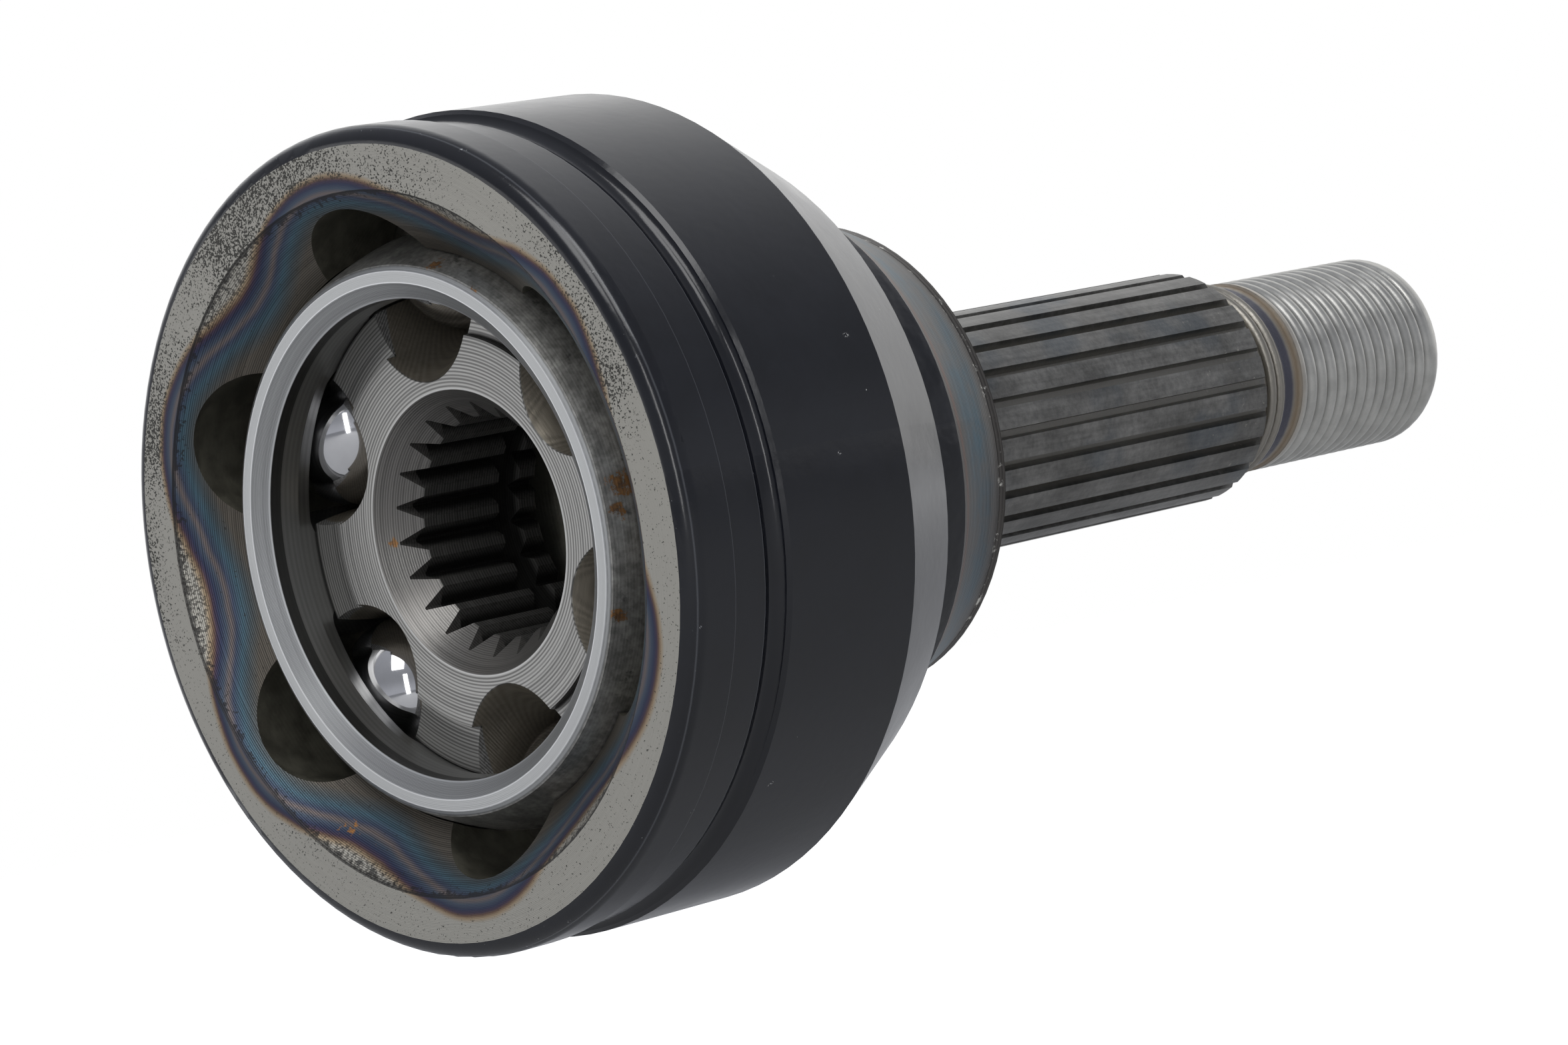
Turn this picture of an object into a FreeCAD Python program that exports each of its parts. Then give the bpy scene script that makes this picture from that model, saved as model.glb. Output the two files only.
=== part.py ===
"""Fixed-ball constant-velocity joint: bell with its stub shaft, ball cage, inner race and six balls.

Frame: the origin is the joint centre, where the shaft axes cross.  +Y runs along the stub shaft, the
bell's mouth faces -Y, and +Z points at the first ball track.  Millimetres.
"""
import FreeCAD, Part
import math
import os

# ---- joint geometry -------------------------------------------------------------------------------
TRACK_COUNT = 6
BALL_DIAMETER = 15.875
BALL_CIRCLE_RADIUS = 28.0
TRACK_OFFSET = 4.0              # outer track centres towards the mouth, inner ones towards the stub
OUTER_TRACK_CLEARANCE = 0.10
INNER_TRACK_CLEARANCE = 0.20
SPHERE_CLEARANCE = 0.15         # radial, cage in bell and inner race in cage
WINDOW_SIDE_CLEARANCE = 0.40    # along the shaft, ball to window edge
WINDOW_END_CLEARANCE = 1.6      # around the shaft, room for the balls to spread
WINDOW_CORNER_RADIUS = 2.5
MIN_CUT_MARGIN = 1.0            # how far cutting tools run past the surface they leave

# ---- bell: depths are measured from its open face -------------------------------------------------
FACE_TO_CENTRE = 18.0
FACE_RADIUS = 40.1
RIM_RADIUS = 41.85
RIM_ROUND_DEPTH = 2.0
BOOT_SEAT_START = 5.7
BOOT_SEAT_END = 10.2
BOOT_SEAT_RADIUS = 41.3
BOOT_SEAT_STEP = 0.25
CLAMP_GROOVE_RADIUS = 40.75
CLAMP_GROOVE_DEPTH = 11.2
MAIN_START = 12.6
MAIN_END = 30.0
MAIN_RADIUS = 42.15
MAIN_EDGE_ROUND = 0.4
CONE_END = 40.85
CONE_END_RADIUS = 36.4
VALLEY_START = 46.0
VALLEY_RADIUS = 29.7
PAINT_END = 51.1
FLARE_RADIUS = 29.2
FLARE_MID = 56.0
FLARE_MID_RADIUS = 26.9
FLARE_END = 60.7
SHOULDER_DEPTH = 61.7
SHOULDER_RADIUS = 25.1
MOUTH_RADIUS = 35.6
LEAD_IN_DEPTH = 5.5
CAVITY_DEPTH = 45.0
OUTER_TRACK_END_ANGLE = 33.0
OUTER_TRACK_MOUTH_ANGLE = 56.0

# ---- stub shaft -----------------------------------------------------------------------------------
SEAT_RADIUS = 13.7
SEAT_END = 66.0
STUB_TEETH = 24
STUB_SPLINE_RADIUS = 13.2
STUB_ROOT_RADIUS = 12.0
STUB_GROOVE_TOP_ANGLE = 4.6
STUB_GROOVE_FLOOR_ANGLE = 3.2
STUB_SPLINE_CLOCKING = 7.5
STUB_SPLINE_END = 118.3
STUB_CHAMFER_END = 119.5
NECK_START_RADIUS = 11.4
NECK_RADIUS = 10.75
NECK_RING_DEPTHS = (121.9, 123.3)
NECK_RING_RADIUS = 11.45
NECK_RING_HALF_WIDTH = 0.6
THREAD_START = 126.8
THREAD_RADIUS = 11.0
THREAD_START_CHAMFER = 0.5
STUB_LENGTH_END = 153.5
STUB_END_ROUND = 2.2
CENTRE_HOLE_RADIUS = 3.0
CENTRE_HOLE_ANGLE = 60.0
CENTRE_PILOT_RADIUS = 1.2
CENTRE_PILOT_LENGTH = 3.5

# ---- cage -----------------------------------------------------------------------------------------
CAGE_OUTER_RADIUS = 31.6
CAGE_INNER_RADIUS = 26.45
CAGE_BORE_RADIUS = 24.3
CAGE_HALF_LENGTH = 15.4
CAGE_FACE_OUTER_RADIUS = 27.2   # the flat end face lies between its two chamfers
CAGE_FACE_INNER_RADIUS = 26.0
CAGE_BORE_CHAMFER_DEPTH = 1.25
CAGE_EDGE_CHAMFER = 0.4

# ---- inner race -----------------------------------------------------------------------------------
RACE_FRONT = -8.8
RACE_REAR = 11.5
RACE_STEP_RADIUS = 20.1
RACE_STEP_HEIGHT = 0.9
RACE_STEP_SLOPE = 0.35
RACE_TRACK_END_ANGLE = 40.0     # past both faces, seen from the track's centre
BORE_TEETH = 22
BORE_TIP_RADIUS = 11.3
BORE_ROOT_RADIUS = 13.0
BORE_GAP_TIP_ANGLE = 12.0
BORE_GAP_ROOT_ANGLE = 1.2
BORE_SPLINE_CLOCKING = 11.75
BORE_CHAMFER_RADIUS = 14.5
BORE_CHAMFER_LENGTH = 4.1
BORE_REAR_CHAMFER = 0.9
SNAP_GROOVE_START = 5.6
SNAP_GROOVE_END = 8.5
SNAP_GROOVE_RADIUS = 13.3

# ---- derived sizes --------------------------------------------------------------------------------
BALL_RADIUS = BALL_DIAMETER / 2
TRACK_PATH_RADIUS = math.hypot(BALL_CIRCLE_RADIUS, TRACK_OFFSET)
TRACK_PITCH = 360.0 / TRACK_COUNT
BELL_SPHERE_RADIUS = CAGE_OUTER_RADIUS + SPHERE_CLEARANCE
RACE_SPHERE_RADIUS = CAGE_INNER_RADIUS - SPHERE_CLEARANCE

AXIS = FreeCAD.Vector(0, 1, 0)
ORIGIN = FreeCAD.Vector(0, 0, 0)


def station(depth):
    """Y coordinate of a depth measured from the bell's open face."""
    return depth - FACE_TO_CENTRE


def chord_radius(sphere_radius, y):
    """Radius of a sphere about the origin where it crosses station y."""
    return math.sqrt(sphere_radius ** 2 - y ** 2)


def round_the_axis(shape, angle):
    """Copy of a shape turned about the shaft axis; positive angles run from +Z to +X."""
    turned = shape.copy()
    turned.rotate(ORIGIN, AXIS, angle)
    return turned


class HalfSection:
    """Closed outline of a turned solid, drawn as (radius, station) points and revolved about Y."""

    def __init__(self, radius, y):
        self.first = FreeCAD.Vector(radius, y, 0)
        self.last = self.first
        self.edges = []

    def line(self, radius, y):
        end = FreeCAD.Vector(radius, y, 0)
        self.edges.append(Part.LineSegment(self.last, end).toShape())
        self.last = end
        return self

    def arc(self, mid_radius, mid_y, radius, y):
        end = FreeCAD.Vector(radius, y, 0)
        middle = FreeCAD.Vector(mid_radius, mid_y, 0)
        self.edges.append(Part.Arc(self.last, middle, end).toShape())
        self.last = end
        return self

    def turned(self):
        self.line(self.first.x, self.first.y)
        return Part.Face(Part.Wire(self.edges)).revolve(ORIGIN, AXIS, 360)


def splined_prism(teeth, groove_radius, land_radius, groove_angle, land_gap_angle, clocking, start, end):
    """Bar whose section steps between a land radius and a groove radius, one groove per tooth."""
    points = []
    pitch = 360.0 / teeth
    for index in range(teeth):
        middle = clocking + index * pitch
        for radius, offset in (
            (land_radius, -land_gap_angle / 2),
            (groove_radius, -groove_angle / 2),
            (groove_radius, groove_angle / 2),
            (land_radius, land_gap_angle / 2),
        ):
            angle = math.radians(middle + offset)
            points.append(FreeCAD.Vector(radius * math.sin(angle), start, radius * math.cos(angle)))
    edges = []
    for index, point in enumerate(points):
        following = points[(index + 1) % len(points)]
        if index % 4 == 3:
            angle = math.radians(clocking + (index // 4 + 0.5) * pitch)
            middle = FreeCAD.Vector(land_radius * math.sin(angle), start, land_radius * math.cos(angle))
            edges.append(Part.Arc(point, middle, following).toShape())
        else:
            edges.append(Part.LineSegment(point, following).toShape())
    return Part.Face(Part.Wire(edges)).extrude(AXIS * (end - start))


def track_point(centre_y, angle):
    """Point of the first track's path; the angle runs from +Z towards the stub shaft."""
    turn = math.radians(angle)
    y = centre_y + TRACK_PATH_RADIUS * math.sin(turn)
    return FreeCAD.Vector(0, y, TRACK_PATH_RADIUS * math.cos(turn))


def ball_track(centre_y, tool_radius, start_angle, end_angle):
    """Path swept by a ball-shaped cutter round a track centre on the shaft axis."""
    turn = math.radians(start_angle)
    tangent = FreeCAD.Vector(0, math.cos(turn), -math.sin(turn))
    circle = Part.makeCircle(tool_radius, track_point(centre_y, start_angle), tangent)
    centre = FreeCAD.Vector(0, centre_y, 0)
    sweep = Part.Face(Part.Wire(circle)).revolve(centre, FreeCAD.Vector(-1, 0, 0), end_angle - start_angle)
    nose = Part.makeSphere(tool_radius, track_point(centre_y, end_angle))
    return sweep.fuse(nose)


def cut_around(body, tool):
    """Body with a tool cut at every track position."""
    return body.cut([round_the_axis(tool, index * TRACK_PITCH) for index in range(TRACK_COUNT)])


def bell_blank():
    """Outside of the bell and its shoulder, closed at the mouth."""
    half = HalfSection(0, station(0))
    half.line(FACE_RADIUS, station(0))
    half.arc(RIM_RADIUS - 0.45, station(0.65), RIM_RADIUS, station(RIM_ROUND_DEPTH))
    half.line(RIM_RADIUS, station(BOOT_SEAT_START))
    half.line(BOOT_SEAT_RADIUS, station(BOOT_SEAT_START + BOOT_SEAT_STEP))
    half.line(BOOT_SEAT_RADIUS, station(BOOT_SEAT_END))
    half.arc(CLAMP_GROOVE_RADIUS, station(CLAMP_GROOVE_DEPTH), MAIN_RADIUS - MAIN_EDGE_ROUND, station(MAIN_START))
    half.line(MAIN_RADIUS, station(MAIN_START + MAIN_EDGE_ROUND))
    half.line(MAIN_RADIUS, station(MAIN_END))
    half.line(CONE_END_RADIUS, station(CONE_END))
    half.arc(
        (CONE_END_RADIUS + VALLEY_RADIUS) / 2 - 1.2,
        station((CONE_END + VALLEY_START) / 2 - 0.2),
        VALLEY_RADIUS,
        station(VALLEY_START),
    )
    half.line(VALLEY_RADIUS, station(PAINT_END) - (VALLEY_RADIUS - FLARE_RADIUS))
    half.line(FLARE_RADIUS, station(PAINT_END))
    half.arc(FLARE_MID_RADIUS, station(FLARE_MID), SHOULDER_RADIUS, station(FLARE_END))
    half.line(SHOULDER_RADIUS, station(SHOULDER_DEPTH))
    half.line(0, station(SHOULDER_DEPTH))
    return half.turned()


def stub_core():
    """Turned stub shaft under the spline teeth: seat, neck with its two rings, and threaded end."""
    half = HalfSection(0, station(CAVITY_DEPTH) + MIN_CUT_MARGIN)
    half.line(SEAT_RADIUS, station(CAVITY_DEPTH) + MIN_CUT_MARGIN)
    half.line(SEAT_RADIUS, station(SEAT_END))
    half.line(STUB_ROOT_RADIUS, station(SEAT_END) + SEAT_RADIUS - STUB_ROOT_RADIUS)
    half.line(STUB_ROOT_RADIUS, station(STUB_CHAMFER_END))
    half.line(NECK_START_RADIUS, station(STUB_CHAMFER_END) + STUB_ROOT_RADIUS - NECK_START_RADIUS)
    for depth in NECK_RING_DEPTHS:
        half.line(NECK_RADIUS, station(depth - NECK_RING_HALF_WIDTH))
        half.arc(NECK_RING_RADIUS, station(depth), NECK_RADIUS, station(depth + NECK_RING_HALF_WIDTH))
    half.line(NECK_RADIUS, station(THREAD_START))
    half.line(THREAD_RADIUS, station(THREAD_START + THREAD_START_CHAMFER))
    half.line(THREAD_RADIUS, station(STUB_LENGTH_END - STUB_END_ROUND))
    rounding = STUB_END_ROUND * (1 - math.sqrt(0.5))
    half.arc(
        THREAD_RADIUS - rounding,
        station(STUB_LENGTH_END - rounding),
        THREAD_RADIUS - STUB_END_ROUND,
        station(STUB_LENGTH_END),
    )
    half.line(0, station(STUB_LENGTH_END))
    return half.turned()


def stub_spline():
    """Outer spline with its teeth chamfered at the threaded end."""
    teeth = splined_prism(
        STUB_TEETH,
        STUB_ROOT_RADIUS,
        STUB_SPLINE_RADIUS,
        STUB_GROOVE_FLOOR_ANGLE,
        STUB_GROOVE_TOP_ANGLE,
        STUB_SPLINE_CLOCKING,
        station(SEAT_END),
        station(STUB_CHAMFER_END),
    )
    envelope = HalfSection(0, station(SEAT_END))
    envelope.line(SEAT_RADIUS, station(SEAT_END))
    envelope.line(SEAT_RADIUS, station(STUB_SPLINE_END) - SEAT_RADIUS + STUB_SPLINE_RADIUS)
    envelope.line(STUB_ROOT_RADIUS, station(STUB_CHAMFER_END))
    envelope.line(0, station(STUB_CHAMFER_END))
    return teeth.common(envelope.turned())


def bell_cavity():
    """Space inside the bell: lead-in cone, sphere for the cage and flat bottom."""
    edge_radius = chord_radius(BELL_SPHERE_RADIUS, station(LEAD_IN_DEPTH))
    slope = (MOUTH_RADIUS - edge_radius) / LEAD_IN_DEPTH
    half = HalfSection(0, station(-MIN_CUT_MARGIN))
    half.line(MOUTH_RADIUS + slope * MIN_CUT_MARGIN, station(-MIN_CUT_MARGIN))
    half.line(edge_radius, station(LEAD_IN_DEPTH))
    half.arc(
        BELL_SPHERE_RADIUS,
        0,
        chord_radius(BELL_SPHERE_RADIUS, station(CAVITY_DEPTH)),
        station(CAVITY_DEPTH),
    )
    half.line(0, station(CAVITY_DEPTH))
    return half.turned()


def centre_hole():
    """Lathe centre in the end of the threaded stub."""
    cone_length = (CENTRE_HOLE_RADIUS - CENTRE_PILOT_RADIUS) / math.tan(math.radians(CENTRE_HOLE_ANGLE / 2))
    end = station(STUB_LENGTH_END)
    half = HalfSection(0, end)
    half.line(CENTRE_HOLE_RADIUS, end)
    half.line(CENTRE_PILOT_RADIUS, end - cone_length)
    half.line(CENTRE_PILOT_RADIUS, end - cone_length - CENTRE_PILOT_LENGTH)
    half.line(0, end - cone_length - CENTRE_PILOT_LENGTH)
    return half.turned()


def outer_race():
    """Bell with six meridian ball tracks, forged in one piece with the splined and threaded stub."""
    solid = bell_blank().fuse([stub_core(), stub_spline()]).removeSplitter()
    solid = solid.cut([bell_cavity(), centre_hole()])
    track = ball_track(
        -TRACK_OFFSET,
        BALL_RADIUS + OUTER_TRACK_CLEARANCE,
        -OUTER_TRACK_MOUTH_ANGLE,
        OUTER_TRACK_END_ANGLE,
    )
    return cut_around(solid, track)


def window_tool():
    """Rounded rectangular punch for the cage window at the first track."""
    half_width = BALL_RADIUS + WINDOW_SIDE_CLEARANCE
    half_length = BALL_RADIUS + WINDOW_END_CLEARANCE
    height = CAGE_OUTER_RADIUS - CAGE_BORE_RADIUS / 2
    corner = FreeCAD.Vector(-half_length, -half_width, CAGE_BORE_RADIUS / 2 + MIN_CUT_MARGIN)
    block = Part.makeBox(2 * half_length, 2 * half_width, height, corner)
    upright = [edge for edge in block.Edges if abs(edge.tangentAt(edge.FirstParameter).z) > 0.9]
    return block.makeFillet(WINDOW_CORNER_RADIUS, upright)


def cage():
    """Ball cage: a spherical shell ring with a chamfered bore at both ends and one window per ball."""
    bore_end = CAGE_HALF_LENGTH - CAGE_BORE_CHAMFER_DEPTH
    edge_end = CAGE_HALF_LENGTH - CAGE_EDGE_CHAMFER
    edge_radius = chord_radius(CAGE_OUTER_RADIUS, edge_end)
    pocket_half_length = chord_radius(CAGE_INNER_RADIUS, CAGE_BORE_RADIUS)
    half = HalfSection(CAGE_BORE_RADIUS, -bore_end)
    half.line(CAGE_FACE_INNER_RADIUS, -CAGE_HALF_LENGTH)
    half.line(CAGE_FACE_OUTER_RADIUS, -CAGE_HALF_LENGTH)
    half.line(edge_radius, -edge_end)
    half.arc(CAGE_OUTER_RADIUS, 0, edge_radius, edge_end)
    half.line(CAGE_FACE_OUTER_RADIUS, CAGE_HALF_LENGTH)
    half.line(CAGE_FACE_INNER_RADIUS, CAGE_HALF_LENGTH)
    half.line(CAGE_BORE_RADIUS, bore_end)
    half.line(CAGE_BORE_RADIUS, pocket_half_length)
    half.arc(CAGE_INNER_RADIUS, 0, CAGE_BORE_RADIUS, -pocket_half_length)
    return cut_around(half.turned(), window_tool())


def race_blank():
    """Spherical-rimmed disc of the inner race with the stepped front face."""
    step_y = RACE_FRONT + RACE_STEP_HEIGHT
    edge_y = step_y + RACE_STEP_SLOPE
    half = HalfSection(0, RACE_FRONT)
    half.line(RACE_STEP_RADIUS, RACE_FRONT)
    half.line(RACE_STEP_RADIUS, step_y)
    half.line(chord_radius(RACE_SPHERE_RADIUS, edge_y), edge_y)
    half.arc(RACE_SPHERE_RADIUS, 0, chord_radius(RACE_SPHERE_RADIUS, RACE_REAR), RACE_REAR)
    half.line(0, RACE_REAR)
    return half.turned()


def race_bore():
    """Space inside the inner race: splined bore, lead-in chamfers and the snap-ring groove."""
    spline = splined_prism(
        BORE_TEETH,
        BORE_ROOT_RADIUS,
        BORE_TIP_RADIUS,
        BORE_GAP_ROOT_ANGLE,
        BORE_GAP_TIP_ANGLE,
        BORE_SPLINE_CLOCKING,
        RACE_FRONT - MIN_CUT_MARGIN,
        RACE_REAR + MIN_CUT_MARGIN,
    )
    slope = (BORE_CHAMFER_RADIUS - BORE_TIP_RADIUS) / BORE_CHAMFER_LENGTH
    lead_in = HalfSection(0, RACE_FRONT - MIN_CUT_MARGIN)
    lead_in.line(BORE_CHAMFER_RADIUS + slope * MIN_CUT_MARGIN, RACE_FRONT - MIN_CUT_MARGIN)
    lead_in.line(BORE_TIP_RADIUS, RACE_FRONT + BORE_CHAMFER_LENGTH)
    lead_in.line(0, RACE_FRONT + BORE_CHAMFER_LENGTH)
    rear = HalfSection(0, RACE_REAR + MIN_CUT_MARGIN)
    rear.line(BORE_TIP_RADIUS + BORE_REAR_CHAMFER + MIN_CUT_MARGIN, RACE_REAR + MIN_CUT_MARGIN)
    rear.line(BORE_TIP_RADIUS, RACE_REAR - BORE_REAR_CHAMFER)
    rear.line(0, RACE_REAR - BORE_REAR_CHAMFER)
    groove = HalfSection(0, SNAP_GROOVE_START)
    groove.line(SNAP_GROOVE_RADIUS, SNAP_GROOVE_START)
    groove.line(SNAP_GROOVE_RADIUS, SNAP_GROOVE_END)
    groove.line(0, SNAP_GROOVE_END)
    return spline.fuse([lead_in.turned(), rear.turned(), groove.turned()])


def inner_race():
    """Inner race: spherical rim, six meridian ball tracks and the drive shaft's splined bore."""
    track = ball_track(TRACK_OFFSET, BALL_RADIUS + INNER_TRACK_CLEARANCE, -RACE_TRACK_END_ANGLE,
                       RACE_TRACK_END_ANGLE)
    return cut_around(race_blank().cut(race_bore()), track)


def ball(index):
    """One ball at rest on its track."""
    sphere = Part.makeSphere(BALL_RADIUS, FreeCAD.Vector(0, 0, BALL_CIRCLE_RADIUS))
    return round_the_axis(sphere, index * TRACK_PITCH)


def main():
    os.makedirs("parts", exist_ok=True)
    shapes = {"outer_race": outer_race(), "cage": cage(), "inner_race": inner_race()}
    for index in range(TRACK_COUNT):
        shapes[f"ball_{index + 1}"] = ball(index)
    for name, shape in shapes.items():
        assert shape.isValid() and len(shape.Solids) == 1, name
        shape.Solids[0].exportStep(f"parts/{name}.step")
        print(f"{name}: {shape.Volume:.1f} mm3")


main()
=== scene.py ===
"""A fixed-ball driveshaft joint in a white studio: bell with splined stub, cage, inner race and six balls."""

from __future__ import annotations

import logging
import math
from collections.abc import Callable, Sequence
from dataclasses import dataclass
from enum import Enum, IntEnum

import bpy
from mathutils import Matrix, Vector


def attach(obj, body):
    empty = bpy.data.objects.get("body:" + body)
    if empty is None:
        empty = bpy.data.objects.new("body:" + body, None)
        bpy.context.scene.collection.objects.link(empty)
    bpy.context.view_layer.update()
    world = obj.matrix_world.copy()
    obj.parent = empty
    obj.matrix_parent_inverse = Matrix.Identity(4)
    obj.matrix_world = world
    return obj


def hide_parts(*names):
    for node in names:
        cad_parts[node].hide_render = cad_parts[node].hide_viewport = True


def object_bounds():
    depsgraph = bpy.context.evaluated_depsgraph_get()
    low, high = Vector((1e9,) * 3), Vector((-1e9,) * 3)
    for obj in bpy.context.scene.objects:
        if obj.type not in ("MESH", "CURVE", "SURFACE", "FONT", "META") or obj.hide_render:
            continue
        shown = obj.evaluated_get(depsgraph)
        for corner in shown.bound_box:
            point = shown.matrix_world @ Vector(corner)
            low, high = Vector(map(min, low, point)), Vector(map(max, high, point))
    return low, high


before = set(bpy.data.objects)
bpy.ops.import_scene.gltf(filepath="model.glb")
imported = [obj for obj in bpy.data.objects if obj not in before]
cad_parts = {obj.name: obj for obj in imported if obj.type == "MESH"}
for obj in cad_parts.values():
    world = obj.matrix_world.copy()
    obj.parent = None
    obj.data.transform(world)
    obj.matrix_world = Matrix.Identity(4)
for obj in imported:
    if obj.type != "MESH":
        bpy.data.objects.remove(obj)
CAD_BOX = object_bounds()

log = logging.getLogger("driveshaft_joint")

MM = 0.001
FACE_TO_CENTRE = 18.0
BALL_COUNT = 6
WHITE = (1.0, 1.0, 1.0)

Material = bpy.types.Material
Node = bpy.types.Node
Piece = bpy.types.Object
Socket = bpy.types.NodeSocket
Tree = bpy.types.NodeTree
Colour = tuple[float, float, float]
Place = tuple[float, float, float]
Span = tuple[float, float]
Stain = tuple[Place, float]


class Slot(Enum):
    """The names of the record's painted and turned material slots."""

    PAINT = "painted_forging"
    TURNED = "turned_steel"


class BellFinish(IntEnum):
    """The bell's finishes, in the order of its materials."""

    ENAMEL = 0
    FACE = 1
    LEAD_IN = 2
    OILED = 3
    COLLAR = 4


def linear(red: float, green: float, blue: float) -> Colour:
    """Turns a colour as the eye names it, from 0 to 255, into the linear values that shaders take.

    Args:
        red: The red part.
        green: The green part.
        blue: The blue part.

    Returns:
        The three linear values.
    """
    def one(value: float) -> float:
        """One channel's linear value."""
        share = value / 255
        return share / 12.92 if share <= 0.04045 else ((share + 0.055) / 1.055) ** 2.4

    return one(red), one(green), one(blue)


DARK_RUST = linear(84, 58, 34)
PALE_RUST = linear(150, 104, 52)


def put(name: str, data: bpy.types.ID) -> Piece:
    """Makes an object of a mesh, a lamp or a camera and links it to the scene."""
    made = bpy.data.objects.new(name, data)
    bpy.context.scene.collection.objects.link(made)
    return made


class Graph:
    """Writes a node tree: each call adds a node and returns the socket that the next call reads."""

    def __init__(self, tree: Tree) -> None:
        """Keeps the tree to write in."""
        self.tree = tree

    @classmethod
    def emptied(cls, owner: Material | bpy.types.World) -> Graph:
        """Turns on the nodes of a material or a world, clears them and opens their tree."""
        owner.use_nodes = True
        owner.node_tree.nodes.clear()
        return cls(owner.node_tree)

    def node(self, kind: str, inputs: dict[str | int, object] | None = None,
             **settings: object) -> Node:
        """Adds a node.

        Args:
            kind: The node's type.
            inputs: Sockets or plain values for its inputs, by name or number.
            **settings: Its properties, such as operation.

        Returns:
            The node.
        """
        added = self.tree.nodes.new(kind)
        for name, value in settings.items():
            setattr(added, name, value)
        for label, value in (inputs or {}).items():
            self.feed(added.inputs[label], value)
        return added

    def feed(self, target: Socket, value: object) -> None:
        """Links a socket to a target, or sets the target's own value."""
        if isinstance(value, Socket):
            self.tree.links.new(value, target)
        elif target.type == "RGBA" and len(value) == 3:
            target.default_value = (*value, 1.0)
        else:
            target.default_value = value

    def math(self, operation: str, *values: object, clamp: bool = False) -> Socket:
        """A Math node's result, with numbers or sockets as its values."""
        inputs = dict(enumerate(values))
        return self.node("ShaderNodeMath", inputs, operation=operation, use_clamp=clamp).outputs[0]

    def times(self, first: object, second: object) -> Socket:
        """The product of two values."""
        return self.math("MULTIPLY", first, second)

    def times_plus(self, first: object, second: object, third: object) -> Socket:
        """The product of two values, and a third added to it."""
        return self.math("MULTIPLY_ADD", first, second, third)

    def vector(self, operation: str, *values: object) -> Socket:
        """A Vector Math node's result: a number for a length, a distance or a dot product, else a vector."""
        second = "Scale" if operation == "SCALE" else 1
        added = self.node("ShaderNodeVectorMath", dict(zip((0, second, 2), values)), operation=operation)
        return added.outputs["Value" if operation in ("LENGTH", "DISTANCE", "DOT_PRODUCT") else 0]

    def combine(self, x: object, y: object, z: object) -> Socket:
        """A vector made of three numbers or sockets."""
        return self.node("ShaderNodeCombineXYZ", {0: x, 1: y, 2: z}).outputs[0]

    def split(self, vector: Socket) -> Sequence[Socket]:
        """A vector's three parts."""
        return self.node("ShaderNodeSeparateXYZ", {0: vector}).outputs

    def noise(self, place: Socket, scale: float, detail: float = 2.0, rough: float = 0.5) -> Socket:
        """A noise value at a place.

        Args:
            place: Where the noise is read.
            scale: How many waves fit in one unit.
            detail: How many finer octaves are added.
            rough: How strong they are.

        Returns:
            The value, around 0.5.
        """
        inputs = {"Vector": place, "Scale": scale, "Detail": detail, "Roughness": rough}
        return self.node("ShaderNodeTexNoise", inputs).outputs["Fac"]

    def rise(self, value: Socket, low: object, high: object) -> Socket:
        """A smooth step from 0 at low to 1 at high; low may be the larger one."""
        inputs = {"Value": value, "From Min": low, "From Max": high}
        return self.node("ShaderNodeMapRange", inputs, interpolation_type="SMOOTHSTEP").outputs["Result"]

    def band(self, value: Socket, low: float, high: float, soft: float) -> Socket:
        """A mask that is 1 between low and high and falls off over soft on each side."""
        up = self.rise(value, low - soft, low + soft)
        down = self.rise(value, high + soft, high - soft)
        return self.times(up, down)

    def mix(self, amount: object, first: object, second: object, blend: str = "MIX") -> Socket:
        """Blends two colours by an amount from 0 to 1."""
        inputs = {0: amount, 6: first, 7: second}
        return self.node("ShaderNodeMix", inputs, data_type="RGBA", blend_type=blend).outputs[2]

    def between(self, amount: object, first: object, second: object) -> Socket:
        """Blends two numbers by an amount from 0 to 1."""
        return self.node("ShaderNodeMix", {0: amount, 2: first, 3: second}, data_type="FLOAT").outputs[0]

    def ramp(self, value: Socket, stops: Sequence[tuple[float, Colour]]) -> Socket:
        """A colour that runs through the stops as the value goes from 0 to 1."""
        added = self.node("ShaderNodeValToRGB", {"Fac": value})
        points = added.color_ramp.elements
        for place, _ in stops[2:]:
            points.new(place)
        for point, (place, colour) in zip(points, stops):
            point.position = place
            point.color = (*colour, 1.0)
        return added.outputs["Color"]

    def group(self, tree: Tree, **values: object) -> Node:
        """Places a node group, with its named inputs fed."""
        inputs = {name.capitalize(): value for name, value in values.items()}
        return self.node("ShaderNodeGroup", inputs, node_tree=tree)


Sockets = dict[str, Socket]
Writer = Callable[[Graph, Sockets], Sockets]


def add_sockets(tree: Tree, direction: str, kinds: dict[str, str]) -> None:
    """Adds named inputs or outputs to a tree, each of a socket type without NodeSocket."""
    for label, kind in kinds.items():
        tree.interface.new_socket(name=label, in_out=direction, socket_type="NodeSocket" + kind)


def shader_group(name: str, inputs: dict[str, str], outputs: dict[str, str],
                 write: Writer) -> Tree:
    """Builds a shader node group.

    Args:
        name: The group's name.
        inputs: Each input's socket type.
        outputs: Each output's socket type.
        write: Adds the nodes; takes the graph and the inputs, and returns the outputs.

    Returns:
        The group.
    """
    tree = bpy.data.node_groups.new(name, "ShaderNodeTree")
    add_sockets(tree, "INPUT", inputs)
    add_sockets(tree, "OUTPUT", outputs)
    graph = Graph(tree)
    entry = graph.node("NodeGroupInput")
    graph.node("NodeGroupOutput", write(graph, {label: entry.outputs[label] for label in inputs}))
    return tree


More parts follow.
